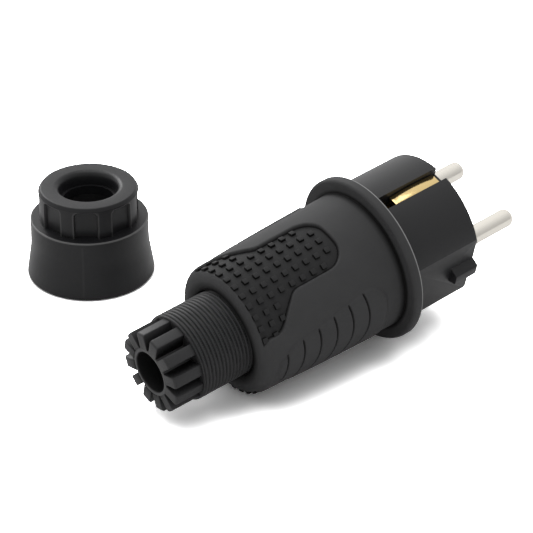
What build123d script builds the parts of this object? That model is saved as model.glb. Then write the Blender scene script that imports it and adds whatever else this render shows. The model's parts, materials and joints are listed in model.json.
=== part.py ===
from build123d import *
import os
from math import asin, atan2, cos, degrees, hypot, radians, sin

# A rewirable rubber mains plug lying on its side, with its gland nut taken off and standing beside it.
# The plug is drawn along its own axis: +X runs to the pins, +Z to the upper grip panel, and X = 0 is the
# front face of the flange. Lengths are in millimetres and angles in degrees.

# Contact pins and earth clips, to the usual two-pole size
pin_radius = 2.4
pin_length = 19.0
pin_spacing = 19.0
pin_tip_round = 1.9
shank_radius = 2.7
terminal_radius = 3.4
terminal_length = 11.0
wire_hole_radius = 1.6
wire_hole_depth = 8.0
terminal_screw_radius = 1.5
terminal_screw_length = 5.0
screw_slot_width = 0.7
screw_slot_depth = 0.9

# Contact carrier, the hard round insert that carries the pins
carrier_radius = 18.6
carrier_length = 21.0
carrier_edge = 0.5
flat_distance = 16.2
rib_top_width = 2.6
rib_base_width = 4.4
rib_length = 7.2
clip_slot_width = 3.9
clip_slot_depth = 2.6
bridge_slot_depth = 8.2

# Earth strap, terminal and socket
strap_width = 3.5
strap_thickness = 0.8
strap_bow = 0.4
strap_front_gap = 1.2
strap_eye_wall = 1.8
earth_block_side = 7.0
earth_block_length = 13.6
earth_block_offset = 9.0
socket_offset = 10.0
socket_bore_radius = 2.45
socket_wall = 0.7
socket_front_gap = 1.5

# Fixing screw of the carrier and the brass bush it runs into
fixing_radius = 2.0
fixing_head_radius = 3.6
fixing_head_height = 2.6
fixing_head_recess = 1.2
fixing_slot_width = 1.05
bush_wall = 1.2
web_front = -20.6
web_thickness = 6.0
web_width = 10.0
web_root = 0.5

# Rubber grip body
flange_radius = 21.7
flange_rim = 2.7
seat_wall = 0.9
seat_depth = flange_rim - seat_wall
flange_edge_round = 0.4
flange_back_round = 0.9
flange_root_round = 0.3
grip_front_radius = 18.1
grip_rear_radius = 16.85
grip_length = 45.4
shoulder_round = 3.0
grip_wall = 3.2
sleeve_edge_round = 1.0
collar_seat = -36.6

# Dotted grip panels, one above and one below
panel_depth = 0.9
panel_front = -15.0
panel_step_front = -31.6
panel_step_rear = -39.9
tongue_half = 7.8
tongue_corner = 5.6
wide_half = 14.0
step_inner_round = 2.5
step_outer_round = 1.5
pip_size = 1.35
pip_height = 0.6
pip_sink = 0.4
pip_pitch_along = 3.2
pip_pitch_round = 3.1
pip_first = -18.2
pip_margin = 0.15

# Ribbed pads, one on each side
pad_raise = 0.25
pad_front = -8.6
pad_rear = -41.6
pad_front_half = 11.4
pad_rear_half = 5.2
pad_front_corner = 7.5
pad_rear_corner = 4.0
groove_first = -14.2
groove_pitch = 4.95
groove_count = 6
groove_bend = 22.0
groove_width = 0.6
groove_depth = 0.6
groove_lean = 12.0
groove_margin = 0.2

# Cable gland: threaded sleeve, clamping collet and rubber seal
neck_radius = 11.1
neck_end = -59.1
neck_chamfer = 0.35
sleeve_bore_radius = 7.6
collar_gap = 0.25
collar_thickness = 3.0
collet_seat = -46.6
collet_base_radius = 8.95
collet_ring_thickness = 1.0
collet_radius = 10.5
finger_count = 12
finger_width = 2.8
finger_length = 8.0
finger_tip_round = 0.9
finger_inner_round = 0.3
seal_radius = 6.8
seal_bore_radius = 5.3
seal_inner_end = -48.6
seal_tip_reach = 0.3
seal_edge = 0.35

# Gland nut, standing on its wide skirt
nut_height = 25.0
nut_base_radius = 16.75
nut_waist_radius = 15.4
nut_waist_height = 9.0
nut_waist_bend = 26.0
nut_lip_height = 16.3
nut_lip_round = 0.4
nut_barrel_radius = 13.0
nut_top_round = 1.0
nut_foot_round = 0.8
nut_thread_clearance = 0.1
nut_thread_depth = 13.0
nut_cone_end = 19.0
nut_cone_end_radius = 7.6
nut_hole_radius = 6.6
nut_funnel_start = 22.6
nut_throat_radius = 7.3
nut_ledge_height = 21.4
nut_funnel_radius = 7.7
nut_funnel_round = 2.0
pocket_count = 8
pocket_angle = 26.0
pocket_depth = 1.0
pocket_top_gap = 1.6
pocket_corner = 1.2
pocket_turn = 10.0
nut_x = -36.8
nut_y = 67.85

# How the plug lies, the clearance of close fits, and how far a cut runs past what it cuts
roll = 19.2
fit = 0.05
overrun = 1.0


def turned(points, radii):
    """Solid turned about the X axis from a closed outline of (x, radius) points with rounded corners."""
    outline = FilletPolyline(*points, radius=radii, close=True)
    return revolve(make_face(outline), axis=Axis.X)


def filleted(points, radii):
    """Flat face through corner points, each corner rounded by its own radius."""
    face = make_face(Polyline(*points, close=True))
    for (x, y), radius in zip(points, radii):
        if radius:
            corner = face.vertices().sort_by_distance((x, y, 0))[0]
            face = fillet(corner, radius)
    return face


def rod(radius, rear, front, y=0.0, z=0.0):
    """Plain round bar along X between two stations."""
    bar = Cylinder(radius, front - rear, align=(Align.CENTER, Align.CENTER, Align.MIN))
    return Pos(rear, y, z) * Rot(Y=90) * bar


def grip_radius(station):
    """Outer radius of the tapered grip at a station on the axis."""
    slope = (grip_front_radius - grip_rear_radius) / (grip_length - flange_rim)
    return grip_rear_radius + slope * (station + grip_length)


def grip_cone(offset):
    """Tapered grip surface as a plain cone, moved out by an offset and run past both ends."""
    rear = -grip_length - shoulder_round
    return turned([(rear, 0), (0, 0), (0, grip_radius(0) + offset), (rear, grip_radius(rear) + offset)], 0)


def panel_outline(inset):
    """Outline of a dotted panel seen from above: a round tongue that steps out towards the rear."""
    rear = -grip_length - shoulder_round
    front = panel_front - inset
    tongue = tongue_half - inset
    wide = wide_half - inset
    corner = tongue_corner - inset
    half = [(rear, wide), (panel_step_rear, wide), (panel_step_front, tongue), (front, tongue)]
    points = half + [(x, -y) for x, y in reversed(half)]
    radii = [0, step_outer_round, step_inner_round, corner]
    return filleted(points, radii + radii[::-1])


def grip_panel():
    """What is cut away for the upper panel: a shallow recess that leaves its rows of square pips."""
    prism = extrude(panel_outline(0), flange_radius)
    recess = (grip_cone(overrun) - grip_cone(-panel_depth)) & prism
    room = panel_outline(pip_margin)
    pips = []
    columns = int((grip_length + pip_first) / pip_pitch_along) + 1
    pitch = degrees(pip_pitch_round / grip_rear_radius)
    rows = int(90 / pitch)
    for column in range(columns):
        station = pip_first - column * pip_pitch_along
        foot = grip_radius(station) - panel_depth
        for row in range(-rows, rows + 1):
            angle = row * pitch
            reach = abs(foot * sin(radians(angle))) + pip_size / 2
            corners = [(station + pip_size / 2, reach), (station - pip_size / 2, reach)]
            if all(room.is_inside((x, y, 0)) for x, y in corners):
                block = Box(pip_size, pip_size, pip_height + pip_sink,
                            align=(Align.CENTER, Align.CENTER, Align.MIN))
                pips.append(Rot(X=angle) * Pos(station, 0, foot - pip_sink) * block)
    return recess - pips


def pad_outline(inset):
    """Outline of a ribbed side pad seen from the side: an egg that widens to the front."""
    rear = pad_rear + inset
    front = pad_front - inset
    points = [(rear, -pad_rear_half + inset), (front, -pad_front_half + inset)]
    points += [(x, -z) for x, z in reversed(points)]
    radii = [pad_rear_corner - inset, pad_front_corner - inset]
    return filleted(points, radii + radii[::-1])


def side_pad():
    """Raised pad on the right side, and the crescent grooves that are cut across it."""
    facing = Rot(X=90)
    skin = grip_cone(pad_raise) - grip_cone(-panel_depth)
    pad = skin & (facing * extrude(pad_outline(0), flange_radius))
    field = facing * extrude(pad_outline(groove_margin), flange_radius)
    shell = (grip_cone(pad_raise + overrun) - grip_cone(pad_raise - groove_depth)) & field
    reach = 2 * flange_radius
    grooves = []
    for index in range(groove_count):
        front = groove_first - index * groove_pitch
        ring = Cylinder(groove_bend, reach) - Cylinder(groove_bend - groove_width, reach)
        ahead = Box(groove_bend, 2 * groove_bend, reach, align=(Align.MIN, Align.CENTER, Align.CENTER))
        arc = Pos(front - groove_bend, 0, 0) * Rot(X=90 - groove_lean) * (ring & ahead)
        grooves.append(shell & arc)
    return pad, grooves


def grip_body():
    """Rubber housing: flange, tapered grip with panels and pads, and hollow inside."""
    bore = carrier_radius + fit
    cavity = grip_rear_radius - grip_wall
    sleeve = neck_radius + fit
    outer = [(0, bore), (0, flange_radius), (-flange_rim, flange_radius), (-flange_rim, grip_front_radius)]
    outer += [(-grip_length, grip_rear_radius), (-grip_length, sleeve)]
    outer_radii = [0, flange_edge_round, flange_back_round, flange_root_round]
    outer_radii += [shoulder_round, sleeve_edge_round]
    inner = [(collar_seat, sleeve), (collar_seat, cavity), (-seat_depth, cavity), (-seat_depth, bore)]
    body = turned(outer + inner, outer_radii + [0] * len(inner))
    web = Pos(web_front, 0, 0) * Box(web_thickness, web_width, 2 * (cavity + web_root),
                                  align=(Align.MAX, Align.CENTER, Align.CENTER))
    body += web & rod(cavity + web_root, web_front - web_thickness, web_front)
    body -= rod(fixing_radius + bush_wall + fit, web_front - web_thickness, web_front)
    pad, grooves = side_pad()
    for side in (pad, mirror(pad, about=Plane.XZ)):
        body += side
    for groove in grooves:
        body -= groove
        body -= mirror(groove, about=Plane.XZ)
    panel = grip_panel()
    body -= panel
    body -= Rot(X=180) * panel
    return body


def contact_carrier():
    """Hard insert: round nose with side flats and guide ribs, clip slots, and holes for what it holds."""
    nose = [(-seat_depth, 0), (carrier_length, 0)]
    nose += [(carrier_length, carrier_radius), (-seat_depth, carrier_radius)]
    body = turned(nose, [0, 0, carrier_edge, 0])
    cheek_height = carrier_radius - flat_distance
    rib = make_face(Polyline((-rib_base_width / 2, 0), (rib_base_width / 2, 0),
                             (rib_top_width / 2, cheek_height), (-rib_top_width / 2, cheek_height),
                             close=True))
    for side in (0, 180):
        cheek = Box(carrier_length, 2 * carrier_radius, 2 * cheek_height,
                    align=(Align.MIN, Align.CENTER, Align.MIN))
        raised = Plane((carrier_length, 0, flat_distance), x_dir=(0, -1, 0), z_dir=(-1, 0, 0)) * rib
        flat = Pos(0, 0, flat_distance) * cheek - extrude(raised, rib_length)
        body -= Rot(X=90 + side) * flat
        slot = Box(carrier_length + seat_depth, clip_slot_width, clip_slot_depth + overrun,
                   align=(Align.MIN, Align.CENTER, Align.MIN))
        body -= Rot(X=side) * Pos(-seat_depth, 0, carrier_radius - clip_slot_depth) * slot
        body -= rod(shank_radius + fit, -seat_depth, carrier_length, y=pin_spacing / 2 * cos(radians(side)))
    bridge = Box(bridge_slot_depth, clip_slot_width, 2 * carrier_radius,
                 align=(Align.MIN, Align.CENTER, Align.CENTER))
    body -= Pos(-seat_depth, 0, 0) * bridge
    body -= rod(fixing_radius + strap_eye_wall + fit, -seat_depth, bridge_slot_depth - seat_depth)
    block = Box(bridge_slot_depth, earth_block_side + 2 * fit, earth_block_side + 2 * fit,
                align=(Align.MIN, Align.CENTER, Align.CENTER))
    body -= Pos(-seat_depth, 0, earth_block_offset) * block
    body -= rod(socket_bore_radius + socket_wall + fit, bridge_slot_depth - seat_depth,
                carrier_length - socket_front_gap, z=-socket_offset)
    body -= rod(socket_bore_radius, carrier_length - socket_front_gap, carrier_length, z=-socket_offset)
    body -= rod(fixing_radius + fit, -seat_depth, carrier_length)
    head_rear = carrier_length - fixing_head_recess - fixing_head_height
    body -= rod(fixing_head_radius + fit, head_rear, carrier_length)
    return body


def contact_pin(side):
    """Solid pin with a rounded tip and, behind the carrier, a drilled terminal head."""
    tip = carrier_length + pin_length
    head = -seat_depth - terminal_length
    outline = [(head, 0), (tip, 0), (tip, pin_radius), (carrier_length, pin_radius)]
    outline += [(carrier_length, shank_radius), (-seat_depth, shank_radius)]
    outline += [(-seat_depth, terminal_radius), (head, terminal_radius)]
    body = turned(outline, [0, 0, pin_tip_round, 0, 0, 0, 0, 0])
    body -= rod(wire_hole_radius, head, head + wire_hole_depth)
    screw_hole = Cylinder(terminal_screw_radius + fit, terminal_radius + overrun,
                          align=(Align.CENTER, Align.CENTER, Align.MIN))
    body -= Pos(head + wire_hole_depth / 2, 0, 0) * screw_hole
    return Pos(0, side * pin_spacing / 2, 0) * body


def slotted_screw(radius, length):
    """Headless clamping screw standing on Z = 0, with a screwdriver slot in its end."""
    body = Cylinder(radius, length, align=(Align.CENTER, Align.CENTER, Align.MIN))
    slot = Box(2 * (radius + overrun), screw_slot_width, 2 * screw_slot_depth)
    return body - Pos(0, 0, length) * slot


def terminal_screw(side):
    """Screw that clamps the wire in a pin's terminal head."""
    station = -seat_depth - terminal_length + wire_hole_depth / 2
    place = Pos(station, side * pin_spacing / 2, wire_hole_radius)
    return place * slotted_screw(terminal_screw_radius, terminal_screw_length)


def earth_strap():
    """Brass strap: two bowed clips in the carrier's slots, joined by a bridge across its back."""
    back = bridge_slot_depth - seat_depth
    tip = carrier_length - strap_front_gap
    floor = carrier_radius - clip_slot_depth
    crown = floor + strap_thickness + strap_bow
    middle = (back + tip) / 2
    outer = ThreePointArc((back, floor + strap_thickness), (middle, crown), (tip, floor + strap_thickness))
    inner = ThreePointArc((tip, floor), (middle, crown - strap_thickness), (back - strap_thickness, floor))
    ends = [Line(outer @ 1, inner @ 0), Line(inner @ 1, (back - strap_thickness, floor + strap_thickness)),
            Line((back - strap_thickness, floor + strap_thickness), outer @ 0)]
    profile = Plane.XZ * make_face([outer, inner] + ends)
    clip = extrude(profile, strap_width / 2, both=True)
    bridge = Pos(back, 0, 0) * Box(strap_thickness, strap_width, 2 * (floor + strap_thickness),
                                   align=(Align.MAX, Align.CENTER, Align.CENTER))
    eye = rod(fixing_radius + strap_eye_wall, back - strap_thickness, back)
    body = bridge + eye + clip + Rot(X=180) * clip
    return body - rod(fixing_radius + fit, back - strap_thickness, back)


def earth_terminal():
    """Brass block on the strap's bridge that takes the earth wire."""
    front = bridge_slot_depth - seat_depth - strap_thickness
    block = Box(earth_block_length, earth_block_side, earth_block_side,
                align=(Align.MAX, Align.CENTER, Align.CENTER))
    body = Pos(front, 0, earth_block_offset) * block
    rear = front - earth_block_length
    clamp = rear + wire_hole_depth / 2
    body -= rod(wire_hole_radius, rear, clamp + terminal_screw_radius, z=earth_block_offset)
    hole = Cylinder(terminal_screw_radius + fit, earth_block_side,
                    align=(Align.CENTER, Align.CENTER, Align.MIN))
    return body - Pos(clamp, 0, earth_block_offset) * Rot(X=90) * hole


def earth_screw():
    """Screw that clamps the earth wire, set in from the side."""
    rear = bridge_slot_depth - seat_depth - strap_thickness - earth_block_length
    place = Pos(rear + wire_hole_depth / 2, -wire_hole_radius, earth_block_offset) * Rot(X=90)
    return place * slotted_screw(terminal_screw_radius, terminal_screw_length)


def earth_socket():
    """Sprung brass sleeve behind the hole in the nose, for a socket with a fixed earth pin."""
    rear = bridge_slot_depth - seat_depth
    front = carrier_length - socket_front_gap
    sleeve = rod(socket_bore_radius + socket_wall, rear, front, z=-socket_offset)
    return sleeve - rod(socket_bore_radius, rear + socket_wall, front, z=-socket_offset)


def fixing_screw():
    """Long screw that draws the carrier into the grip body, with a slotted head in the nose."""
    head_rear = carrier_length - fixing_head_recess - fixing_head_height
    head_front = head_rear + fixing_head_height
    body = rod(fixing_radius, web_front - web_thickness, head_rear)
    body += rod(fixing_head_radius, head_rear, head_front)
    slot = Box(2 * screw_slot_depth, 2 * (fixing_head_radius + overrun), fixing_slot_width)
    return body - Pos(head_front, 0, 0) * slot


def fixing_bush():
    """Brass bush held in the grip body's inner web."""
    rear = web_front - web_thickness
    return rod(fixing_radius + bush_wall, rear, web_front) - rod(fixing_radius + fit, rear, web_front)


def threaded_sleeve():
    """Hard sleeve that is held by its collar inside the grip body and carries the gland thread."""
    collar_front = collar_seat + collar_thickness
    collar_radius = grip_rear_radius - grip_wall - collar_gap
    ring_seat = neck_end + collet_ring_thickness
    outline = [(collar_front, sleeve_bore_radius), (collar_front, collar_radius)]
    outline += [(collar_seat, collar_radius), (collar_seat, neck_radius)]
    outline += [(neck_end + neck_chamfer, neck_radius)]
    outline += [(neck_end, neck_radius - neck_chamfer), (neck_end, collet_radius + fit)]
    outline += [(ring_seat, collet_radius + fit), (ring_seat, collet_base_radius + fit)]
    outline += [(collet_seat, collet_base_radius + fit), (collet_seat, sleeve_bore_radius)]
    return turned(outline, 0)


def clamp_collet():
    """Collet that grips the cable: a base in the sleeve and a crown of free fingers with rounded tips."""
    ring_seat = neck_end + collet_ring_thickness
    outline = [(collet_seat, seal_bore_radius), (collet_seat, collet_base_radius)]
    outline += [(ring_seat, collet_base_radius)]
    outline += [(ring_seat, collet_radius), (neck_end, collet_radius), (neck_end, seal_radius + fit)]
    outline += [(seal_inner_end, seal_radius + fit), (seal_inner_end, seal_bore_radius)]
    body = turned(outline, 0)
    tip = neck_end - finger_length
    foot = seal_radius + fit
    bar = [(neck_end, foot), (neck_end, collet_radius), (tip, collet_radius), (tip, foot)]
    pitch = 360 / finger_count
    crown = Rot(X=pitch / 2) * turned(bar, [0, 0, finger_tip_round, finger_inner_round])
    slab = Box(finger_length, finger_width, 2 * collet_radius, align=(Align.MAX, Align.CENTER, Align.MIN))
    for index in range(finger_count):
        body += crown & (Rot(X=index * pitch) * Pos(neck_end, 0, 0) * slab)
    return body


def cable_seal():
    """Soft rubber tube inside the collet that closes on the cable."""
    tip = neck_end - finger_length - seal_tip_reach
    outline = [(seal_inner_end, seal_bore_radius), (seal_inner_end, seal_radius)]
    outline += [(tip, seal_radius), (tip, seal_bore_radius)]
    return turned(outline, [0, 0, seal_edge, seal_edge])


def gland_nut():
    """Nut with a flared skirt, a barrel with grip pockets, an inner cone and a funnel for the cable."""
    thread = neck_radius + nut_thread_clearance
    outer = [(thread, 0), (nut_base_radius, 0), (nut_waist_radius, nut_waist_height)]
    outer += [(nut_waist_radius, nut_lip_height), (nut_barrel_radius, nut_lip_height)]
    outer += [(nut_barrel_radius, nut_height)]
    outer_radii = [0, nut_foot_round, nut_waist_bend, nut_lip_round, 0, nut_top_round]
    inner = [(nut_funnel_radius, nut_height), (nut_throat_radius, nut_funnel_start)]
    inner += [(nut_throat_radius, nut_ledge_height), (nut_hole_radius, nut_ledge_height)]
    inner += [(nut_hole_radius, nut_cone_end)]
    inner += [(nut_cone_end_radius, nut_cone_end), (thread, nut_thread_depth)]
    inner_radii = [nut_funnel_round] + [0] * 6
    profile = make_face(FilletPolyline(*(outer + inner), radius=outer_radii + inner_radii, close=True))
    body = revolve(Plane.XZ * profile, axis=Axis.Z)
    floor = nut_barrel_radius - pocket_depth
    height = nut_height - nut_lip_height - pocket_top_gap
    width = 2 * nut_barrel_radius * sin(radians(pocket_angle / 2))
    window = make_face(FilletPolyline((-width / 2, 0), (width / 2, 0),
                                      (width / 2, height), (-width / 2, height),
                                      radius=[0, 0, pocket_corner, pocket_corner], close=True))
    ring = Cylinder(nut_base_radius, nut_height) - Cylinder(floor, nut_height)
    ring = Pos(0, 0, nut_height / 2) * ring
    for index in range(pocket_count):
        turn = Rot(Z=pocket_turn + index * 360 / pocket_count)
        upright = Plane((0, 0, nut_lip_height), x_dir=(0, 1, 0), z_dir=(1, 0, 0)) * window
        body -= ring & (turn * extrude(upright, nut_base_radius))
    return body


def resting_tilt():
    """Angle by which the nose is raised when flange and rear pips both touch the surface."""
    rim_station = flange_back_round - flange_rim
    rim_radius = flange_radius - flange_back_round
    columns = int((grip_length + pip_first) / pip_pitch_along)
    last = pip_first - columns * pip_pitch_along
    pip_station = last - pip_size / 2
    pip_radius = grip_radius(last) - panel_depth + pip_height
    run = rim_station - pip_station
    rise = rim_radius - pip_radius
    tilt = asin(flange_back_round / hypot(run, rise)) + atan2(rise, run)
    lift = rim_radius * cos(tilt) - rim_station * sin(tilt) + flange_back_round
    return degrees(tilt), lift


plug = {
    "grip_body": grip_body(),
    "contact_carrier": contact_carrier(),
    "earth_strap": earth_strap(),
    "earth_terminal": earth_terminal(),
    "earth_terminal_screw": earth_screw(),
    "earth_socket": earth_socket(),
    "fixing_screw": fixing_screw(),
    "fixing_bush": fixing_bush(),
    "threaded_sleeve": threaded_sleeve(),
    "clamp_collet": clamp_collet(),
    "cable_seal": cable_seal(),
}
for name, side in (("left", 1), ("right", -1)):
    plug["contact_pin_" + name] = contact_pin(side)
    plug["terminal_screw_" + name] = terminal_screw(side)

tilt, lift = resting_tilt()
lying = Pos(0, 0, lift) * Rot(Y=-tilt) * Rot(X=roll)
pieces = {name: lying * piece for name, piece in plug.items()}
pieces["gland_nut"] = Pos(nut_x, nut_y, 0) * gland_nut()

# The origin is under the middle of both things together, on the surface they lie on
extent = Compound([solid for piece in pieces.values() for solid in piece.solids()]).bounding_box()
centre = Pos(-extent.center().X, -extent.center().Y, 0)
os.makedirs("parts", exist_ok=True)
for name, piece in pieces.items():
    export_step(centre * piece, "parts/" + name + ".step")
print("tilt", tilt, "lift", lift, "lowest", extent.min.Z, "shift", extent.center())
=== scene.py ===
import json
from math import atan2, copysign, cos, hypot, inf, pi, radians, sin, sqrt, tan

import bmesh
import bpy
from mathutils import Matrix, Vector


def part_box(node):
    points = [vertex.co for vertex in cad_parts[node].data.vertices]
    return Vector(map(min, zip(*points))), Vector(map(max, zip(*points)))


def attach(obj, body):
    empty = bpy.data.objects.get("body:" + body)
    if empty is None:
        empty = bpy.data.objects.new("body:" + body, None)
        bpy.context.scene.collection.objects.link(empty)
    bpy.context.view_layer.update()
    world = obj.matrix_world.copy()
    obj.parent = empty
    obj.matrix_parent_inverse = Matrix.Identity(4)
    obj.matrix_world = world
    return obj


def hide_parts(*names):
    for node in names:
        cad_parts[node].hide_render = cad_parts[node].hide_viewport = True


# Shared frame
# Shapes are drawn in millimetres along the plug's own axis: X runs to the pins, Z to the upper grip panel,
# and X = 0 is the flange face. How the plug lies is read from the record's mounts.
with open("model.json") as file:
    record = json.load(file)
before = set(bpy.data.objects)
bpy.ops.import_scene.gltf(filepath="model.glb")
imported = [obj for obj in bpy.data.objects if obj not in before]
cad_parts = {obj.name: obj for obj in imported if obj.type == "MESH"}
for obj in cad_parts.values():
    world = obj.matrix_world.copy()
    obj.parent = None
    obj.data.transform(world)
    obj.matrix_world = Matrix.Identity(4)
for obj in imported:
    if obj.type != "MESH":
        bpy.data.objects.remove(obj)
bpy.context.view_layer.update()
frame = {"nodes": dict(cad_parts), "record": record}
nodes = frame["nodes"]
millimetre = Matrix.Scale(0.001, 4)
nose_length = 21.0
mounts = {mount["name"]: mount for mount in frame["record"]["mounts"]}
along = Vector(mounts["flange_face"]["axis"]).normalized()
left_pin = Vector(mounts["pin_left"]["pos_m"])
right_pin = Vector(mounts["pin_right"]["pos_m"])
across = (left_pin - right_pin).normalized()
upward = along.cross(across)
pin_middle = nose_length + mounts["pin_left"]["dims"]["length_mm"] / 2
flange_centre = (left_pin + right_pin) / 2 - along * pin_middle * 0.001
plug_turn = Matrix((along, across, upward)).transposed().to_4x4()
plug_lie = Matrix.Translation(flange_centre) @ plug_turn @ millimetre

# Contact carrier
# The hard insert keeps its CAD form, with flats, guide ribs and clip slots. A merged copy has its edges
# eased the way a moulding has, so that they catch the light.
cloud_scale, cloud_detail = 180, 3
speck_detail, speck_height = 2, 0.0001


def finish(name, colour, roughness, metallic=0.0, specular=0.5, grain=0.0, grain_size=0.4, mottle=0.0,
           marks=()):
    """Material with an even tone, a slight mottle and a fine surface grain, sized in millimetres.

    Each mark is the name of a vertex attribute and the tone that the surface takes where it is 1.
    """
    material = bpy.data.materials.new(name)
    material.use_nodes = True
    tree = material.node_tree
    shader = tree.nodes["Principled BSDF"]
    shader.inputs["Base Color"].default_value = (*colour, 1)
    shader.inputs["Roughness"].default_value = roughness
    shader.inputs["Metallic"].default_value = metallic
    shader.inputs["Specular IOR Level"].default_value = specular
    spot = tree.nodes.new("ShaderNodeTexCoord")
    if mottle:
        cloud = tree.nodes.new("ShaderNodeTexNoise")
        cloud.inputs["Scale"].default_value = cloud_scale
        cloud.inputs["Detail"].default_value = cloud_detail
        tree.links.new(spot.outputs["Object"], cloud.inputs["Vector"])
        blend = tree.nodes.new("ShaderNodeMix")
        blend.data_type = "RGBA"
        blend.inputs["A"].default_value = (*[tone * (1 - mottle) for tone in colour], 1)
        blend.inputs["B"].default_value = (*[tone * (1 + mottle) for tone in colour], 1)
        tree.links.new(cloud.outputs["Fac"], blend.inputs["Factor"])
        tree.links.new(blend.outputs["Result"], shader.inputs["Base Color"])
    for attribute, mark_tone in marks:
        spread = tree.nodes.new("ShaderNodeAttribute")
        spread.attribute_name = attribute
        marked = tree.nodes.new("ShaderNodeMix")
        marked.data_type = "RGBA"
        marked.inputs["A"].default_value = (*colour, 1)
        marked.inputs["B"].default_value = (mark_tone, mark_tone, mark_tone, 1)
        if shader.inputs["Base Color"].is_linked:
            tree.links.new(shader.inputs["Base Color"].links[0].from_socket, marked.inputs["A"])
        tree.links.new(spread.outputs["Fac"], marked.inputs["Factor"])
        tree.links.new(marked.outputs["Result"], shader.inputs["Base Color"])
    if grain:
        speck = tree.nodes.new("ShaderNodeTexNoise")
        speck.inputs["Scale"].default_value = 1000 / grain_size
        speck.inputs["Detail"].default_value = speck_detail
        tree.links.new(spot.outputs["Object"], speck.inputs["Vector"])
        bump = tree.nodes.new("ShaderNodeBump")
        bump.inputs["Strength"].default_value = grain
        bump.inputs["Distance"].default_value = speck_height
        tree.links.new(speck.outputs["Fac"], bump.inputs["Height"])
        tree.links.new(bump.outputs["Normal"], shader.inputs["Normal"])
    return material


def place(bm, name, material, replaced, lie, crease=40):
    """Makes a drawn shape into a piece of the object that stands for CAD nodes."""
    bmesh.ops.recalc_face_normals(bm, faces=bm.faces)
    bm.transform(lie)
    mesh = bpy.data.meshes.new(name)
    bm.to_mesh(mesh)
    bm.free()
    mesh.shade_smooth()
    mesh.set_sharp_from_angle(angle=radians(crease))
    mesh.materials.append(material)
    piece = bpy.data.objects.new(name, mesh)
    bpy.context.collection.objects.link(piece)
    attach(piece, "root")
    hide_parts(*replaced)


same_point, same_plane, sharp_edge = 0.000001, radians(0.5), radians(30)


def eased(node, width):
    """Copy of a CAD node in its place, with its sharp edges rounded over by a width in millimetres."""
    bm = bmesh.new()
    bm.from_mesh(nodes[node].data)
    bmesh.ops.remove_doubles(bm, verts=bm.verts, dist=same_point)
    bmesh.ops.dissolve_limit(bm, angle_limit=same_plane, verts=bm.verts, edges=bm.edges)
    sharp = [edge for edge in bm.edges if edge.is_manifold and edge.calc_face_angle() > sharp_edge]
    bmesh.ops.bevel(bm, geom=sharp, affect="EDGES", offset=width * 0.001, segments=2, profile=0.5,
                    material=-1, clamp_overlap=True)
    return bm


in_place = Matrix.Identity(4)
carrier_plastic = finish("carrier_plastic", (0.016, 0.016, 0.017), roughness=0.42, specular=0.28, grain=0.12,
                         grain_size=0.25)
place(eased("contact_carrier", width=0.15), "contact_carrier", carrier_plastic,
      ["contact_carrier"], in_place, crease=20)

# Contact pins
# Two solid pins with rounded tips, a shank inside the carrier and a drilled terminal head behind it.
# They are plated brass, bright and slightly warm.
weld = 0.0001


def rounded(corners, closed=True, steps=6):
    """Points of an outline through (x, y, round) corners, with an arc of that round at each corner."""
    points = []
    count = len(corners)
    for index, (x, y, round_off) in enumerate(corners):
        here = Vector((x, y))
        if not round_off or (not closed and index in (0, count - 1)):
            points.append(here)
            continue
        before = (Vector(corners[index - 1][:2]) - here).normalized()
        after = (Vector(corners[(index + 1) % count][:2]) - here).normalized()
        half = before.angle(after) / 2
        middle = here + (before + after).normalized() * (round_off / sin(half))
        start = here + before * (round_off / tan(half)) - middle
        end = here + after * (round_off / tan(half)) - middle
        for step in range(steps + 1):
            points.append(middle + start.slerp(end, step / steps).normalized() * round_off)
    return points


def turned(corners, segments, closed=True, finest=0.0, fine_from=0.0, fine_to=inf, coarse=1.0, steps=6,
           fine=1):
    """Shape spun about the X axis from an outline of (x, radius, round) corners.

    The outline's runs that lie further out than fine_from are cut into steps of the finest length, and
    those that lie further along than fine_to into coarse ones. Each segment of the spin is then cut into as
    many parts as fine says.
    """
    bm = bmesh.new()
    outline = [bm.verts.new((x, 0, radius)) for x, radius in rounded(corners, closed, steps)]
    for start, end in zip(outline, outline[1:] + outline[:1] * closed):
        bm.edges.new((start, end))
    if finest:
        for edge in list(bm.edges):
            if min(vertex.co.z for vertex in edge.verts) < fine_from:
                continue
            plain = max(vertex.co.x for vertex in edge.verts) > fine_to
            cuts = int(edge.calc_length() / (coarse if plain else finest))
            if cuts:
                bmesh.ops.subdivide_edges(bm, edges=[edge], cuts=cuts)
    bmesh.ops.spin(bm, geom=bm.verts[:] + bm.edges[:], cent=(0, 0, 0), axis=(1, 0, 0), angle=2 * pi,
                   steps=segments, use_merge=True)
    bmesh.ops.remove_doubles(bm, verts=bm.verts, dist=weld)
    if fine > 1:
        wedge = 2 * pi / segments
        ends = [(edge, edge.verts[0].co, edge.verts[1].co) for edge in bm.edges]
        rings = [edge for edge, a, b in ends
                 if abs(a.x - b.x) < weld and abs(hypot(a.y, a.z) - hypot(b.y, b.z)) < weld]
        bmesh.ops.subdivide_edges(bm, edges=rings, cuts=fine - 1, use_grid_fill=True)
        for vertex in bm.verts:
            x, y, z = vertex.co
            bulge = cos(atan2(y, z) % wedge - wedge / 2) / cos(wedge / 2)
            vertex.co = x, y * bulge, z * bulge
    return bm


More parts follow.
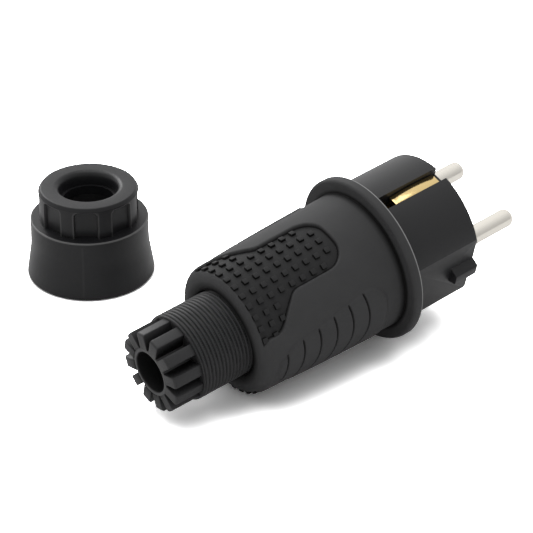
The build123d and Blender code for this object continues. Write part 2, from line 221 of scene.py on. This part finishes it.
pin_tip, pin_radius, pin_round, shank_radius = nose_length + 19.0, 2.4, 1.9, 2.7
head_front, head_rear, head_radius, head_round = -1.8, -12.8, 3.4, 0.3
wire_hole_radius, wire_hole_end = 1.6, -4.8
pin_offset = 9.5
pin_profile = [(wire_hole_end, 0, 0), (wire_hole_end, wire_hole_radius, 0),
               (head_rear, wire_hole_radius, 0), (head_rear, head_radius, head_round),
               (head_front, head_radius, head_round), (head_front, shank_radius, 0),
               (nose_length, shank_radius, 0), (nose_length, pin_radius, 0),
               (pin_tip, pin_radius, pin_round), (pin_tip, 0, 0)]
pin_nickel = finish("pin_nickel", (0.80, 0.765, 0.70), roughness=0.2, metallic=1.0, grain=0.05,
                    grain_size=0.6)
for side, name in ((1, "left"), (-1, "right")):
    pin = turned(pin_profile, segments=64, closed=False, steps=10)
    bmesh.ops.translate(pin, verts=pin.verts, vec=(0, side * pin_offset, 0))
    place(pin, "contact_pin_" + name, pin_nickel, ["contact_pin_" + name], plug_lie)

# Earth strap and fixings
# The bowed brass clips on the nose, and the screws, socket and bush that hold the insides together.
# They keep their CAD form, with eased edges.
brass = finish("brass", (0.72, 0.54, 0.25), roughness=0.14, metallic=1.0, grain=0.08, grain_size=0.5)
screw_steel = finish("screw_steel", (0.55, 0.55, 0.54), roughness=0.35, metallic=1.0, grain=0.1, mottle=0.08)
place(eased("earth_strap", width=0.12), "earth_strap", brass, ["earth_strap"], in_place)
for node in ("earth_terminal", "earth_socket", "fixing_bush"):
    place(eased(node, width=0.08), node, brass, [node], in_place)
for node in ("fixing_screw", "earth_terminal_screw", "terminal_screw_left", "terminal_screw_right"):
    place(eased(node, width=0.08), node, screw_steel, [node], in_place)

# Grip body
# The rubber housing is spun finely enough to carry its moulded relief: two dotted panels, two side pads and
# their crescent grooves. Rows of the spun mesh are drawn onto the edges, so that these stay crisp.
flange_back, flange_radius, edge_light = -2.7, 21.7, 0.5
flange_edge_round, flange_back_round, flange_root_round = 0.6, 0.9, 0.3
seat_radius, seat_round, seat_back, bore_radius = 18.65, 0.2, -1.8, 13.65
grip_rear, grip_front_radius, grip_rear_radius, shoulder_round = -45.4, 18.1, 16.85, 3.0
sleeve_hole_radius, sleeve_hole_round, collar_seat = 11.15, 1.0, -36.6
sleeve_shade, sleeve_shade_depth = 12.4, 1.5
root_along, root_out = (0.2, 2.0), (0.1, 1.2)
panel_depth, panel_front, step_front, step_rear = 0.9, -15.0, -31.6, -38.8
tongue_half, tongue_corner, wide_half, step_round = 7.8, 5.6, 13.7, 0.9
edge_row, edge_run, edge_round = 0.14, 0.2, 0.12
edge_reach, hair = 3 * edge_row, 0.01
floor_shade_share, sunk_scale = 0.5, 0.99
pad_raise, pad_front, pad_rear, pad_edge = 0.4, -8.6, -41.6, 0.3
pad_front_half, pad_rear_half, pad_corner = 11.4, 5.2, 6.0
groove_first, groove_pitch, groove_count = -14.2, 4.95, 6
groove_bend, groove_half, groove_depth, groove_fade, groove_lean = 22.0, 0.3, 0.7, 0.5, radians(12)


def ramp(value, low, high):
    """Smooth step from 0 at low to 1 at high."""
    share = min(max((value - low) / (high - low), 0), 1)
    return share * share * (3 - 2 * share)


def grip_radius(x):
    """Radius of the tapered grip at a place along the axis."""
    share = (x - grip_rear) / (flange_back - grip_rear)
    return grip_rear_radius + share * (grip_front_radius - grip_rear_radius)


def soft_min(a, b, round_off):
    """Lesser of two distances, blended where they are close, which rounds the corner between two edges."""
    share = max(round_off - abs(a - b), 0) / round_off
    return min(a, b) - share * share * round_off / 4


def inside_panel(x, y):
    """How far a point, seen from above, lies inside the edge of a dotted panel."""
    reach = abs(y)
    widening = (wide_half - tongue_half) / (step_front - step_rear)
    slanted = (tongue_half + widening * (step_front - x) - reach) * cos(atan2(widening, 1))
    rear = soft_min(slanted, wide_half - reach, step_round)
    depth = -soft_min(-rear, reach - tongue_half, step_round)
    corner_x, corner_y = x - (panel_front - tongue_corner), reach - (tongue_half - tongue_corner)
    if corner_x > 0 and corner_y > 0:
        return min(depth, tongue_corner - hypot(corner_x, corner_y))
    return min(depth, panel_front - x)


def inside_pad(x, z):
    """How far a point, seen from the side, lies inside the edge of a side pad."""
    share = (x - pad_rear) / (pad_front - pad_rear)
    half = pad_rear_half + share * (pad_front_half - pad_rear_half)
    corner_x = max(x - (pad_front - pad_corner), (pad_rear + pad_corner) - x)
    corner_z = abs(z) - (half - pad_corner)
    if corner_x > 0 and corner_z > 0:
        return pad_corner - hypot(corner_x, corner_z)
    return min(half - abs(z), pad_front - x, x - pad_rear)


def on_edge_row(off, run):
    """New place of a point that belongs to a row of an edge, by how far off the edge it is, or None."""
    if abs(off) < edge_row:
        return 0.0
    return copysign(run, off) if abs(off) < edge_reach else None


def shape_panel(vertex, painted_shade, radius, depth):
    """Sinks a point of the grip into a dotted panel, with the points about its edge drawn onto it, and
    paints shade on the sunk floor, darkest along its foot.
    """
    x, y, z = vertex.co
    row = on_edge_row(depth, edge_run)
    if row is not None:
        slope = Vector((inside_panel(x + hair, y) - inside_panel(x - hair, y),
                        inside_panel(x, y + hair) - inside_panel(x, y - hair))).normalized()
        x += slope.x * (row - depth)
        y += slope.y * (row - depth)
        z = copysign(sqrt(radius ** 2 - y ** 2), z)
        depth = row
    sunk = 0
    if depth > 0:
        sunk = panel_depth
    elif depth == 0:
        sunk = edge_round
    scale = min(radius, grip_radius(x) - sunk) / radius
    # Painted shade on the sunk panel floor, full along its foot row.
    dark_share = 1.0 if row == edge_run else floor_shade_share
    vertex[painted_shade] = dark_share if depth > 0 and scale < sunk_scale else 0.0
    vertex.co = x, y * scale, z * scale


def shape_pad(vertex, painted_shade, radius, inside):
    """Raises a point of the grip onto a side pad, and sinks it again where it lies on a groove's line, with
    painted shade along that line.
    """
    x, y, z = vertex.co
    lift = pad_raise * ramp(inside, -pad_edge, pad_edge)
    level = z * cos(groove_lean) - abs(y) * sin(groove_lean)
    crest = groove_first - groove_bend + sqrt(groove_bend ** 2 - level ** 2)
    index = min(max(round((crest - x) / groove_pitch), 0), groove_count - 1)
    line = crest - index * groove_pitch
    row = on_edge_row(x - line, groove_half)
    if row is not None and inside > 0:
        x = line + row
        if row == 0:
            lift -= groove_depth * ramp(inside, 0, groove_fade)
            # Painted shade along the groove line.
            vertex[painted_shade] = 1.0
    scale = (radius + lift) / radius
    vertex.co = x, y * scale, z * scale


relief_front, relief_radius = pad_front + 0.5, 14
relief_row, plain_row, relief_weld = 0.28, 1.0, 0.005
grip_profile = [(0, seat_radius, seat_round), (0, flange_radius, flange_edge_round),
                (flange_back, flange_radius, flange_back_round),
                (flange_back, grip_front_radius, flange_root_round),
                (relief_front, grip_radius(relief_front), 0), (grip_rear, grip_rear_radius, shoulder_round),
                (grip_rear, sleeve_hole_radius, sleeve_hole_round), (collar_seat, sleeve_hole_radius, 0),
                (collar_seat, bore_radius, 0), (seat_back, bore_radius, 0), (seat_back, seat_radius, 0)]
grip = turned(grip_profile, segments=64, finest=relief_row, fine_from=relief_radius,
              fine_to=relief_front + hair, coarse=plain_row, steps=8, fine=7)
# This attribute paints shade into the rubber's colour: dark at the flange root, around the sleeve's foot, on
# the panel floors and pip walls, and along the pad grooves.
painted_shade = grip.verts.layers.float.new("painted_shade")
painted_highlight = grip.verts.layers.float.new("painted_highlight")
for vertex in grip.verts:
    x, y, z = vertex.co
    radius = hypot(y, z)
    # Painted highlight: a lighter line around the flange's front edge.
    if x > -edge_light and radius > flange_radius - edge_light:
        vertex[painted_highlight] = 1.0
    # Painted shade that darkens the grip towards the flange root.
    if x <= flange_back and radius > grip_rear_radius:
        root_off = max(ramp(flange_back - x, *root_along), ramp(radius - grip_front_radius, *root_out))
        vertex[painted_shade] = 1 - root_off
    # Painted shade on the rear face around the sleeve's foot.
    if x < grip_rear + sleeve_shade_depth and radius < sleeve_shade:
        vertex[painted_shade] = 1.0
    if x > relief_front or radius < relief_radius:
        continue
    depth = inside_panel(x, y)
    inside = inside_pad(x, z)
    if depth > -edge_reach:
        shape_panel(vertex, painted_shade, radius, depth)
    elif inside > -pad_edge:
        shape_pad(vertex, painted_shade, radius, inside)
bmesh.ops.remove_doubles(grip, verts=grip.verts, dist=relief_weld)

pip_size, pip_height, pip_sink, pip_margin, pip_edge = 1.4, 0.62, 0.4, 0.15, 0.1
pip_first, pip_pitch_along, pip_pitch_round = -18.2, 3.2, 3.1
pip = bmesh.new()
bmesh.ops.create_cube(pip, size=1)
bmesh.ops.scale(pip, verts=pip.verts, vec=(pip_size, pip_size, pip_height + pip_sink))
bmesh.ops.translate(pip, verts=pip.verts, vec=(0, 0, (pip_height - pip_sink) / 2))
pip_edges = [edge for edge in pip.edges if max(vertex.co.z for vertex in edge.verts) > 0]
bmesh.ops.bevel(pip, geom=pip_edges, affect="EDGES", offset=pip_edge, segments=2, profile=0.5, material=-1)
pip_painted_shade = pip.verts.layers.float.new("painted_shade")
# Painted shade: the pips' walls are painted fully dark, and their tops as dark as the panel floor.
for vertex in pip.verts:
    vertex[pip_painted_shade] = floor_shade_share if vertex.co.z > pip_height - pip_edge / 2 else 1.0
pip_block = bpy.data.meshes.new("pip")
pip.to_mesh(pip_block)
pip.free()
dots = bmesh.new()
dots.verts.layers.float.new("painted_shade")
row_turn = pip_pitch_round / grip_rear_radius
rows_each_way = int(pi / 2 / row_turn)
for column in range(int((pip_first - grip_rear) / pip_pitch_along) + 1):
    station = pip_first - column * pip_pitch_along
    foot = grip_radius(station) - panel_depth
    for row in range(-rows_each_way, rows_each_way + 1):
        reach = abs(foot * sin(row * row_turn)) + pip_size / 2
        if min(inside_panel(station + end * pip_size / 2, reach) for end in (-1, 1)) < pip_margin:
            continue
        for half_turn in (0, pi):
            start = len(dots.verts)
            dots.from_mesh(pip_block)
            dots.verts.ensure_lookup_table()
            pip_turn = Matrix.Rotation(row * row_turn + half_turn, 4, "X")
            pip_lie = pip_turn @ Matrix.Translation((station, 0, foot))
            bmesh.ops.transform(dots, verts=dots.verts[start:], matrix=pip_lie)
dots.to_mesh(pip_block)
dots.free()
grip.from_mesh(pip_block)
bpy.data.meshes.remove(pip_block)
# The rubber turns near black where the painted shade is 1 and lighter where the painted highlight is 1.
grip_rubber = finish("grip_rubber", (0.044, 0.044, 0.045), roughness=0.58, specular=0.1, grain=0.2,
                     grain_size=0.3, mottle=0.1, marks=(("painted_shade", 0.003), ("painted_highlight", 0.2)))
place(grip, "grip_body", grip_rubber, ["grip_body"], plug_lie, crease=55)

# Cable gland
# The threaded sleeve that stands out of the grip's rear face, the collet with its crown of twelve fingers,
# and the soft seal inside. Sleeve and collet are hard plastic.
neck_radius, neck_end, neck_round = 11.1, -59.1, 0.35
thread_pitch, thread_depth, thread_end, thread_start = 1.03, 0.45, -58.95, -44.0
thread_inner, thread_fade, thread_row = 11, 0.3, 0.1
collar_radius, collar_front, sleeve_bore = 13.4, -33.6, 7.6
collet_seat, ring_seat, collet_base, collet_radius = -46.6, neck_end + 1.0, 8.95, 10.5
fit = 0.05
sleeve_profile = [(collar_front, sleeve_bore, 0), (collar_front, collar_radius, 0),
                  (collar_seat, collar_radius, 0), (collar_seat, neck_radius, 0),
                  (neck_end, neck_radius, neck_round), (neck_end, collet_radius + fit, 0),
                  (ring_seat, collet_radius + fit, 0), (ring_seat, collet_base + fit, 0),
                  (collet_seat, collet_base + fit, 0), (collet_seat, sleeve_bore, 0)]
sleeve = turned(sleeve_profile, segments=40, finest=thread_row, fine_from=thread_inner, fine=4)
for vertex in sleeve.verts:
    x, y, z = vertex.co
    radius = hypot(y, z)
    if radius > thread_inner and thread_end < x < thread_start:
        phase = x / thread_pitch + atan2(z, y) / (2 * pi)
        valley = (0.5 - 0.5 * cos(2 * pi * phase)) ** 2
        scale = 1 - thread_depth * ramp(x, thread_end, thread_end + thread_fade) * valley / radius
        vertex.co.y *= scale
        vertex.co.z *= scale
# Painted shade: the plastic turns near black where the painted shade attribute is 1.
gland_plastic = finish("gland_plastic", (0.022, 0.022, 0.023), roughness=0.45, specular=0.3, grain=0.3,
                       grain_size=0.25, marks=(("painted_shade", 0.002),))
place(sleeve, "threaded_sleeve", gland_plastic, ["threaded_sleeve"], plug_lie, crease=60)

finger_count, finger_width, finger_length, finger_root = 12, 2.8, 7.96, 0.3
finger_tip_round, finger_edge, finger_shade, finger_corner = 0.6, 0.12, 0.6, radians(50)
collet_round = 0.2
seal_radius, seal_bore, seal_inner_end, seal_mouth_radius = 6.8, 5.3, -48.6, 6.4
finger_inner = seal_mouth_radius - fit
collet = turned([(collet_seat, seal_bore, 0), (collet_seat, collet_base, 0), (ring_seat, collet_base, 0),
                 (ring_seat, collet_radius, 0), (neck_end, collet_radius, collet_round),
                 (neck_end, seal_radius + fit, 0), (seal_inner_end, seal_radius + fit, 0),
                 (seal_inner_end, seal_bore, 0)], segments=128)
collet.verts.layers.float.new("painted_shade")
finger = bmesh.new()
rim = []
half_steps = 3
for reach, way in ((collet_radius, 1), (finger_inner, -1)):
    for step in range(-half_steps, half_steps + 1):
        y = finger_width / 2 * way * step / half_steps
        rim.append(finger.verts.new((neck_end + finger_root, y, sqrt(reach ** 2 - y ** 2))))
section = finger.faces.new(rim)
pulled = bmesh.ops.extrude_face_region(finger, geom=[section])["geom"]
bmesh.ops.translate(finger, verts=[part for part in pulled if isinstance(part, bmesh.types.BMVert)],
                    vec=(-finger_length - finger_root, 0, 0))
tip = neck_end - finger_length
tip_edges = [edge for edge in finger.edges
             if all(v.co.x < tip + hair and v.co.z > collet_base for v in edge.verts)]
bmesh.ops.bevel(finger, geom=tip_edges, affect="EDGES", offset=finger_tip_round, segments=4, profile=0.5,
                material=-1)
side_edges = [edge for edge in finger.edges if edge.calc_face_angle(0) > finger_corner]
bmesh.ops.bevel(finger, geom=side_edges, affect="EDGES", offset=finger_edge, segments=2, profile=0.5,
                material=-1)
finger_painted_shade = finger.verts.layers.float.new("painted_shade")
# Painted shade: each finger darkens towards its inner face, so the gaps between the fingers read dark.
for vertex in finger.verts:
    vertex[finger_painted_shade] = 1 - ramp(vertex.co.z, finger_inner, collet_radius - finger_shade)
bar = bpy.data.meshes.new("finger")
finger.to_mesh(bar)
finger.free()
for index in range(finger_count):
    start = len(collet.verts)
    collet.from_mesh(bar)
    collet.verts.ensure_lookup_table()
    bmesh.ops.rotate(collet, verts=collet.verts[start:], cent=(0, 0, 0),
                     matrix=Matrix.Rotation(2 * pi * index / finger_count, 3, "X"))
bpy.data.meshes.remove(bar)
place(collet, "clamp_collet", gland_plastic, ["clamp_collet"], plug_lie)

seal_tip, seal_round = tip + 0.1, 0.3
seal = turned([(seal_inner_end, seal_bore, 0), (seal_inner_end, seal_radius, 0), (neck_end, seal_radius, 0),
               (neck_end, seal_mouth_radius, 0), (seal_tip, seal_mouth_radius, seal_round),
               (seal_tip, seal_bore, seal_round)], segments=96)
seal_painted_shade = seal.verts.layers.float.new("painted_shade")
# Painted shade: the seal darkens towards its bore.
for vertex in seal.verts:
    vertex[seal_painted_shade] = 1 - ramp(hypot(vertex.co.y, vertex.co.z), seal_bore, seal_bore + seal_round)
# The seal rubber turns near black where the painted shade is 1.
seal_rubber = finish("seal_rubber", (0.045, 0.045, 0.046), roughness=0.5, specular=0.3, grain=0.2,
                     grain_size=0.3, mottle=0.1, marks=(("painted_shade", 0.004),))
place(seal, "cable_seal", seal_rubber, ["cable_seal"], plug_lie)

# Gland nut
# The nut stands on its skirt, in the place that its box gives. Its barrel is spun finely enough to take the
# eight shallow grip pockets. It is hard plastic with a rounded funnel for the cable.
nut_low, nut_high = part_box("gland_nut")
nut_middle = (nut_low + nut_high) / 2
nut_lie = Matrix.Translation((nut_middle.x, nut_middle.y, nut_low.z)) @ millimetre
nut_height, barrel_radius, rim_drop, rim_step, rim_round = 25.0, 13.0, 0.9, 0.6, 0.4
base_radius, foot_round, waist_radius, waist_height, waist_bend = 16.75, 0.8, 15.4, 9.0, 26
lip_height, lip_round, lip_light = 16.3, 0.4, 0.35
funnel_radius, funnel_round, funnel_end, throat_radius = 7.8, 1.6, 22.6, 7.3
ledge_height, hole_radius, cone_end, cone_radius = 21.4, 6.6, 19, 7.6
thread_room_radius, thread_room_height = 11.2, 13
seam_turn, seam_half, seam_highlight, seam_gap = radians(-131.5), radians(0.6), 0.08, 1
pocket_count, pocket_half, pocket_depth, pocket_edge_highlight = 8, radians(14), 1.0, 0.5
pocket_top, pocket_corner, pocket_turn = nut_height - 1.2, 1.2, radians(7)
pocket_wall, light_outer, light_inner = (0.02, 0.22), (-0.5, -0.1), (0, 0.2)
pocket_pitch = 2 * pi / pocket_count
skin, pocket_row = 1, 0.25
nut = turned([(0, thread_room_radius, 0), (0, base_radius, foot_round),
              (waist_height, waist_radius, waist_bend), (lip_height, waist_radius, lip_round),
              (lip_height, barrel_radius, 0), (nut_height - rim_drop, barrel_radius, rim_round),
              (nut_height, barrel_radius - rim_step, rim_round), (nut_height, funnel_radius, funnel_round),
              (funnel_end, throat_radius, 0), (ledge_height, throat_radius, 0),
              (ledge_height, hole_radius, 0), (cone_end, hole_radius, 0), (cone_end, cone_radius, 0),
              (thread_room_height, thread_room_radius, 0)],
             segments=60, finest=pocket_row, fine_from=barrel_radius - skin, steps=8, fine=6)
bmesh.ops.rotate(nut, verts=nut.verts, cent=(0, 0, 0), matrix=Matrix.Rotation(-pi / 2, 3, "Y"))
painted_highlight = nut.verts.layers.float.new("painted_highlight")
for vertex in nut.verts:
    x, y, z = vertex.co
    radius = hypot(x, y)
    angle = atan2(y, x)
    # Painted highlight along the lip's outer edge.
    if radius > waist_radius - lip_light and abs(z - lip_height) < lip_light:
        vertex[painted_highlight] = 1.0
    # Painted highlight: a faint light line down the skirt where the mould seam runs.
    on_skirt = radius > barrel_radius + skin and seam_gap < z < lip_height - seam_gap
    if on_skirt and abs(angle - seam_turn) < seam_half:
        vertex[painted_highlight] = seam_highlight
    on_barrel = barrel_radius - skin < radius < barrel_radius + hair
    if not on_barrel or not lip_height - hair < z < pocket_top:
        continue
    turn = (angle - pocket_turn + pocket_pitch / 2) % pocket_pitch - pocket_pitch / 2
    side = (pocket_half - abs(turn)) * barrel_radius
    inside = min(side, pocket_top - z)
    corner_z, corner_side = z - (pocket_top - pocket_corner), pocket_corner - side
    if corner_z > 0 and corner_side > 0:
        inside = min(inside, pocket_corner - hypot(corner_z, corner_side))
    sunk = radius - (barrel_radius - pocket_depth) * cos(pocket_half / 2) / cos(turn)
    scale = 1 - max(sunk, 0) * ramp(inside, *pocket_wall) / radius
    # Painted highlight: a light band along each pocket's edge.
    vertex[painted_highlight] = pocket_edge_highlight * (ramp(inside, *light_outer) - ramp(inside, *light_inner))
    vertex.co.x *= scale
    vertex.co.y *= scale
# The plastic turns lighter where the painted highlight is 1.
nut_plastic = finish("nut_plastic", (0.008, 0.008, 0.009), roughness=0.38, specular=0.3, grain=0.15,
                     grain_size=0.3, marks=(("painted_highlight", 0.08),))
place(nut, "gland_nut", nut_plastic, ["gland_nut"], nut_lie, crease=50)

# Floor and light
# A white floor under broad soft light, most of it from behind and from the left, so that upper edges are
# light. Near the things on it, ambient occlusion darkens the floor's colour as a painted contact shadow,
# so that the shadows stay close to the things that cast them.
floor_size = 6
seen_tone, contact_tone, contact_reach = 3.9, 1.2, 0.011
contact_dark, contact_clear = 0.4, 0.9
mirrored_tone, bounce_tone = 0.68, 0.8
ground = bmesh.new()
bmesh.ops.create_grid(ground, x_segments=1, y_segments=1, size=floor_size)
ground_mesh = bpy.data.meshes.new("floor")
ground.to_mesh(ground_mesh)
ground.free()
ground_piece = bpy.data.objects.new("floor", ground_mesh)
bpy.context.collection.objects.link(ground_piece)
paper = bpy.data.materials.new("floor_paper")
paper.use_nodes = True
paper_nodes = paper.node_tree.nodes
paper_links = paper.node_tree.links
paper_nodes.remove(paper_nodes["Principled BSDF"])
ray = paper_nodes.new("ShaderNodeLightPath")
# Painted contact shadow: for camera rays the floor's tone falls from seen_tone to contact_tone where ambient
# occlusion finds the object close by.
contact = paper_nodes.new("ShaderNodeAmbientOcclusion")
contact.inputs["Distance"].default_value = contact_reach
shade = paper_nodes.new("ShaderNodeMapRange")
shade.inputs["From Min"].default_value = contact_dark
shade.inputs["From Max"].default_value = contact_clear
shade.inputs["To Min"].default_value = contact_tone
shade.inputs["To Max"].default_value = seen_tone
paper_links.new(contact.outputs["AO"], shade.inputs["Value"])
tone = None
for kind in ("Is Glossy Ray", "Is Transmission Ray", "Is Camera Ray"):
    choice = paper_nodes.new("ShaderNodeMix")
    choice.data_type = "RGBA"
    choice.inputs["A"].default_value = (bounce_tone, bounce_tone, bounce_tone, 1)
    choice.inputs["B"].default_value = (mirrored_tone, mirrored_tone, mirrored_tone, 1)
    if tone is not None:
        paper_links.new(tone, choice.inputs["A"])
    if kind == "Is Camera Ray":
        paper_links.new(shade.outputs["Result"], choice.inputs["B"])
    paper_links.new(ray.outputs[kind], choice.inputs["Factor"])
    tone = choice.outputs["Result"]
matte = paper_nodes.new("ShaderNodeBsdfDiffuse")
paper_links.new(tone, matte.inputs["Color"])
paper_links.new(matte.outputs["BSDF"], paper_nodes["Material Output"].inputs["Surface"])
ground_mesh.materials.append(paper)

camera_plan = Vector((-0.347578, -0.400932, 0))
camera_height = 0.329179
camera_turn, camera_dip, camera_roll = radians(38.24947), radians(30.36284), radians(0.04082)
camera_focus, sensor_width, sight_limit = 166.446, 36, 20
right = Vector((cos(camera_turn), -sin(camera_turn), 0))
away = Vector((sin(camera_turn), cos(camera_turn), 0))
upright = Vector((0, 0, 1))


def lamp(name, sideways, back, up, size, power, mirrored=True):
    """Square soft light that looks at the object's middle. Metal shows it only if it is mirrored."""
    data = bpy.data.lights.new(name, "AREA")
    data.shape = "SQUARE"
    data.size = size
    data.energy = power
    stand = right * sideways + away * back + upright * up
    light = bpy.data.objects.new(name, data)
    light.location = stand
    light.rotation_euler = (-stand).to_track_quat("-Z", "Y").to_euler()
    light.visible_glossy = mirrored
    bpy.context.collection.objects.link(light)


lamp("back_light", sideways=-0.7, back=1.1, up=0.8, size=0.7, power=9)
lamp("top_light", sideways=-0.2, back=0.1, up=1.2, size=0.9, power=4)
lamp("right_light", sideways=1.0, back=0.8, up=0.5, size=0.7, power=4, mirrored=False)

sky_back, sky_left, sky_up = 0.7, 0.3, 0.65
sky_from, sky_to, sky_dim, sky_bright = -0.3, 0.9, 0.6, 1.05
world = bpy.data.worlds.new("studio")
bpy.context.scene.world = world
world.use_nodes = True
sky_nodes = world.node_tree.nodes
sky_links = world.node_tree.links
sky_nodes["Background"].inputs["Color"].default_value = (1, 1, 1, 1)
heading = sky_nodes.new("ShaderNodeTexCoord")
toward = sky_nodes.new("ShaderNodeVectorMath")
toward.operation = "DOT_PRODUCT"
toward.inputs[1].default_value = (away * sky_back - right * sky_left + upright * sky_up).normalized()
sky_links.new(heading.outputs["Generated"], toward.inputs[0])
sky = sky_nodes.new("ShaderNodeMapRange")
sky.inputs["From Min"].default_value = sky_from
sky.inputs["From Max"].default_value = sky_to
sky.inputs["To Min"].default_value = sky_dim
sky.inputs["To Max"].default_value = sky_bright
sky_links.new(toward.outputs["Value"], sky.inputs["Value"])
sky_links.new(sky.outputs["Result"], sky_nodes["Background"].inputs["Strength"])

forward = Vector((sin(camera_turn) * cos(camera_dip), cos(camera_turn) * cos(camera_dip), -sin(camera_dip)))
down = forward.cross(right)
sight_x = right * cos(camera_roll) - down * sin(camera_roll)
sight_y = right * sin(camera_roll) + down * cos(camera_roll)
camera_data = bpy.data.cameras.new("camera")
camera_data.sensor_width = sensor_width
camera_data.lens = camera_focus
camera_data.clip_end = sight_limit
camera = bpy.data.objects.new("camera", camera_data)
camera_stand = Vector((flange_centre.x, flange_centre.y, 0)) + camera_plan + upright * camera_height
camera_aim = Matrix((sight_x, -sight_y, -forward)).transposed().to_4x4()
camera.matrix_world = Matrix.Translation(camera_stand) @ camera_aim
bpy.context.collection.objects.link(camera)
bpy.context.scene.camera = camera
bpy.context.scene.view_settings.view_transform = "Standard"
